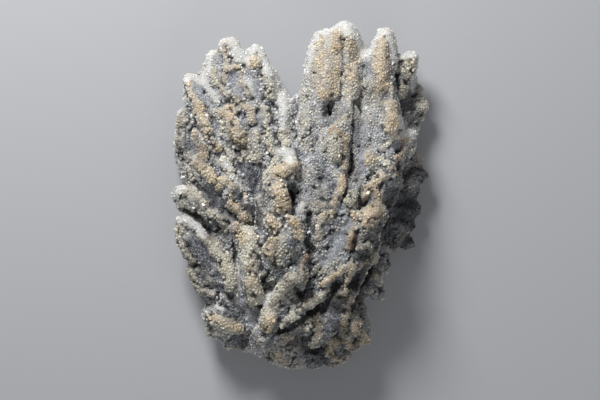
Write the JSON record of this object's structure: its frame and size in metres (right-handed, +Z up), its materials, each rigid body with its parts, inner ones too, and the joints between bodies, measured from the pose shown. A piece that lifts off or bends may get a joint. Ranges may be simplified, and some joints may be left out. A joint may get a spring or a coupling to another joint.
{
  "type": "calcite specimen",
  "caption": "Cluster of blade-shaped calcite crystals in two fans from one root, coated with fine druse, lying on a flat back.",
  "frame": {"origin": "middle of the specimen's outline, on the plane that it rests on", "axes": "+Z up from the cut back to the crystal faces, +Y from the broken root to the crystal tips, +X across both fans from the left fan to the right one"},
  "size_m": [0.0734, 0.1, 0.0285],
  "materials": {
    "calcite": "granular druse of small calcite crystals, cream to tan on the ridges and grey in the hollows, dull with small glints"
  },
  "bodies": {
    "root": {"crystal_cluster": "calcite"}
  },
  "joints": []
}
